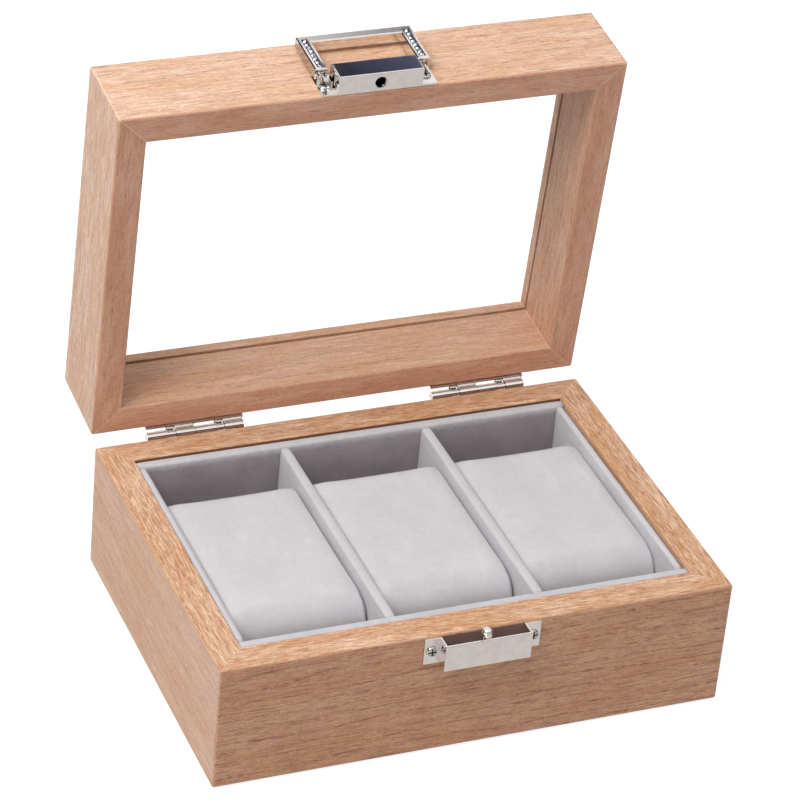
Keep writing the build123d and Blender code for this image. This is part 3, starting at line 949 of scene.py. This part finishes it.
# A thin closed pad with rounded edges and a slightly uneven top
def softPad(name, material):
    values = pads[name]
    low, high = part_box(values["node"])
    size = high - low
    middle = (high + low) / 2
    radius = values["round"] * mm
    build = bmesh.new()
    bmesh.ops.create_cube(build, size=1.0, matrix=Matrix.Translation(middle) @
                          Matrix.Diagonal((size.x, size.y, size.z, 1.0)))
    bmesh.ops.bevel(build, geom=build.edges[:], offset=radius, segments=padShape["edgeSteps"],
                    profile=0.5, affect="EDGES")
    for axis, length in ((0, size.x), (1, size.y)):
        count = int(length / (values["step"] * mm))
        normal = Vector((1, 0, 0)) if axis == 0 else Vector((0, 1, 0))
        for i in range(1, count):
            spot = low + normal * (length * i / count)
            bmesh.ops.bisect_plane(build, geom=build.verts[:] + build.edges[:] + build.faces[:],
                                   plane_co=spot, plane_no=normal)
    for vert in build.verts:
        if vert.co.z > middle.z:
            drift = noise.noise(vert.co * padShape["bumps"])
            vert.co.z -= values["dip"] * mm * (0.5 + 0.5 * drift)
    piece = addObject(name, build, material)
    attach(piece, "base")
    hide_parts(values["node"])


softPad("liner_floor_velvet", linerVelvet)
softPad("base_felt_sheet", blackFelt)

# Pillows: a stuffed band with two side panels sewn in, rolled at the front and back. Each
# starts a little small and is blown up as cloth, at ten times its size. The filling is firm, so
# each point keeps its direction but moves no further than the cap.
pillow = {
    "roll": 12.5 * mm,
    "edge": 1.5 * mm,
    "start": 0.55 * mm,
    "cap": 0.65 * mm,
    "seam": 0.22 * mm,
    "dent": 0.10 * mm,
    "dents": 45.0,
    "seedShift": Vector((3.1, 1.7, 0.0)),
    "leastRound": 1.0 * mm,
    "clearance": 0.02 * mm,
    "pressure": 22.0,
    "frames": 20,
    "quality": 5,
    "blowUp": 10.0,
    "edgeRows": 6,
    "bandRows": 16,
    "cornerSteps": 9,
    "sideSteps": (12, 7),
    "panelInsets": (19.0, 15.0, 11.5, 8.5, 6.0, 4.0, 2.4, 1.1),
    "easedRows": 5,
    "easings": 16,
    "fill": 0.85,
}


# Points round a rounded rectangle in the Y Z plane, with its middle at 0
def bandOutline(halfY, halfZ, radius):
    cornerSteps, sideSteps = pillow["cornerSteps"], pillow["sideSteps"]
    outline = []
    corners = [Vector((signY * (halfY - radius), signZ * (halfZ - radius)))
               for signY, signZ in ((1, 1), (-1, 1), (-1, -1), (1, -1))]
    for number, corner in enumerate(corners):
        start = pi / 2 * number
        for i in range(cornerSteps + 1):
            angle = start + pi / 2 * i / cornerSteps
            outline.append(corner + radius * Vector((cos(angle), sin(angle))))
        nextCorner = corners[(number + 1) % 4]
        offset = radius * Vector((cos(start + pi / 2), sin(start + pi / 2)))
        steps = sideSteps[number % 2]
        for i in range(1, steps):
            outline.append(corner.lerp(nextCorner, i / steps) + offset)
    return outline


# The rings of a pillow from its left panel to its right one, as (x, inset of the outline)
def pillowRows(half):
    edge = pillow["edge"]
    panel = [(-half, edge + inset * mm) for inset in pillow["panelInsets"]]
    turn = [(-half + edge * (1 - cos(angle)), edge * (1 - sin(angle)))
            for angle in (pi / 2 * i / pillow["edgeRows"] for i in range(pillow["edgeRows"]))]
    reach = half - edge
    band = [(-reach + 2 * reach * i / pillow["bandRows"], 0.0)
            for i in range(pillow["bandRows"] + 1)]
    left = panel + turn
    return left + band + [(-x, inset) for x, inset in reversed(left)]


# Swells a piece as cloth under pressure, with each point's move no longer than the cap
def blowUp(piece):
    scale = pillow["blowUp"]
    rest = [vert.co.copy() for vert in piece.data.vertices]
    for vert in piece.data.vertices:
        vert.co *= scale
    cloth = piece.modifiers.new("stuffing", "CLOTH")
    cloth.settings.quality = pillow["quality"]
    cloth.settings.use_pressure = True
    cloth.settings.uniform_pressure_force = pillow["pressure"]
    cloth.settings.effector_weights.gravity = 0.0
    cloth.point_cache.frame_start = 1
    cloth.point_cache.frame_end = pillow["frames"]
    for number in range(1, pillow["frames"] + 1):
        bpy.context.scene.frame_set(number)
    shown = piece.evaluated_get(bpy.context.evaluated_depsgraph_get())
    moves = [vert.co / scale - old for vert, old in zip(shown.data.vertices, rest)]
    piece.modifiers.remove(cloth)
    bpy.context.scene.frame_set(1)
    longest = max(move.length for move in moves)
    for vert, old, move in zip(piece.data.vertices, rest, moves):
        vert.co = old + move * min(1.0, pillow["cap"] / max(move.length, 1e-9))
    cap = round(pillow["cap"] / mm, 2)
    print("pillow blown up by", round(longest / mm, 2), "mm and kept to", cap, "mm")


# Evens out the middle of both side panels, where the rings lie close and the cloth creases
def easePanels(mesh, around):
    build = bmesh.new()
    build.from_mesh(mesh)
    reach = around * pillow["easedRows"]
    last = len(build.verts) - reach
    verts = [vert for vert in build.verts if vert.index < reach or vert.index >= last]
    for repeat in range(pillow["easings"]):
        bmesh.ops.smooth_vert(build, verts=verts, factor=0.5, use_axis_x=True, use_axis_y=True,
                              use_axis_z=True)
    build.to_mesh(mesh)
    build.free()


def stuffPillow(name, node, seed):
    low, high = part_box(node)
    middle = (low + high) / 2
    half = (high - low) / 2
    start = pillow["start"]
    rows = pillowRows(half.x - start)
    rings = []
    for x, inset in rows:
        shrink = start + inset
        radius = max(pillow["roll"] - shrink, pillow["leastRound"])
        rings.append([(x, *spot) for spot in bandOutline(half.y - shrink, half.z - shrink, radius)])
    piece = addPiece(name, *skin(rings), pillowVelvet)
    blowUp(piece)
    around = len(rings[0])
    easePanels(piece.data, around)

    normals = [vert.normal.copy() for vert in piece.data.vertices]
    seamRow = len(pillow["panelInsets"]) + pillow["edgeRows"] // 2
    seamRows = (seamRow, len(rows) - 1 - seamRow)
    shift = pillow["seedShift"] * seed
    limit = half - Vector((1, 1, 1)) * pillow["clearance"]
    for number, vert in enumerate(piece.data.vertices):
        sewn = pillow["seam"] if number // around in seamRows else 0.0
        dent = pillow["dent"] * (0.5 + 0.5 * noise.noise(vert.co * pillow["dents"] + shift))
        spot = vert.co - normals[number] * (sewn + dent)
        vert.co = middle + Vector([max(-limit[i], min(limit[i], spot[i])) for i in range(3)])
    smoothing = piece.modifiers.new("smooth", "SUBSURF")
    smoothing.levels = 1
    smoothing.render_levels = 1
    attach(piece, node.replace("pillow_", "") + "_pillow")
    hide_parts(node)


for seed, side in enumerate(("left", "middle", "right")):
    stuffPillow(f"{side}_pillow_velvet", f"pillow_{side}", seed)
print("pillows stuffed")

# Cut stones in the bail's arms, foil backed. A ring has its number of points, its radius and
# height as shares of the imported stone's, its turn as a share of a step, and 1 if it tilts.
stones = {
    "rings": ((16, 1.12, 0.0, 0.0, 0), (16, 1.12, 0.16, 0.0, 0),
              (8, 0.90, 0.58, 0.5, 1), (8, 0.55, 0.95, 0.0, 1)),
    "inset": 0.02 * mm,
    "tilt": 3.0,
    "seed": 5,
    "paintedGlint": 2.1,
    "paintedGlintLevels": (0.45, 0.75),
    "bright": "D8D7DD",
    "dark": "7B7A85",
    "roughness": (0.03, 0.08),
    "sameVert": 0.001 * mm,
    "sameFace": radians(1.0),
}


# Bright and dark cells in the stones' colour are painted glints of their inner facets
def stoneFinish():
    shade = newShade("cutStone")
    paintedGlints = {"Vector": shade.place(), "Scale": stones["paintedGlint"]}
    level = shade.add("SeparateXYZ", {}, {0: shade.add("TexVoronoi", {}, paintedGlints, "Color")})
    dark = shade.step(level, *stones["paintedGlintLevels"])
    least, spread = stones["roughness"]
    return shade.surface({
        "Base Color": shade.mix(dark, tint(stones["bright"]), tint(stones["dark"])),
        "Metallic": 1.0,
        "Roughness": least + spread * level,
    })


# The low and high corner of each packed stone, in the closed lid's directions
def packedStones():
    build = bmesh.new()
    build.from_mesh(nodes["bail_crystals"].data)
    bmesh.ops.remove_doubles(build, verts=build.verts[:], dist=stones["sameVert"])
    places, left = [], set(build.verts)
    while left:
        group, wave = set(), [left.pop()]
        while wave:
            vert = wave.pop()
            group.add(vert)
            for edge in vert.link_edges:
                other = edge.other_vert(vert)
                if other in left:
                    left.remove(other)
                    wave.append(other)
        points = [closeLid @ vert.co for vert in group]
        low = Vector([min(p[i] for p in points) for i in range(3)])
        high = Vector([max(p[i] for p in points) for i in range(3)])
        places.append((low, high))
    build.free()
    return sorted(places, key=lambda box: (round(box[0].x, 4), round(box[0].z, 4)))


def cutStones():
    build = bmesh.new()
    chance = Random(stones["seed"])
    openLid = closeLid.inverted()
    for low, high in packedStones():
        centre = (low + high) / 2
        radius = (high.z - low.z) / 2 - stones["inset"]
        rise = high.y - low.y
        seat = Vector((centre.x, high.y, centre.z))
        turn = Matrix.Rotation(chance.uniform(0, pi / 4), 3, "Y")
        lean = Matrix.Rotation(radians(chance.uniform(-1, 1) * stones["tilt"]), 3, "X")
        lean = lean @ Matrix.Rotation(radians(chance.uniform(-1, 1) * stones["tilt"]), 3, "Z")
        verts = []
        for count, reach, height, offset, tilts in stones["rings"]:
            for i in range(count):
                angle = 2 * pi * (i + offset) / count
                spot = turn @ Vector((radius * reach * cos(angle), -rise * height,
                                      radius * reach * sin(angle)))
                if tilts:
                    spot = lean @ spot
                verts.append(build.verts.new(openLid @ (seat + spot)))
        bmesh.ops.convex_hull(build, input=verts)
    bmesh.ops.dissolve_limit(build, angle_limit=stones["sameFace"], verts=build.verts[:],
                             edges=build.edges[:])
    bmesh.ops.recalc_face_normals(build, faces=build.faces[:])
    piece = addObject("bail_stones", build, stoneFinish(), smooth=False)
    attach(piece, "bail")
    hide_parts("bail_crystals")


cutStones()
print("stones cut and set")
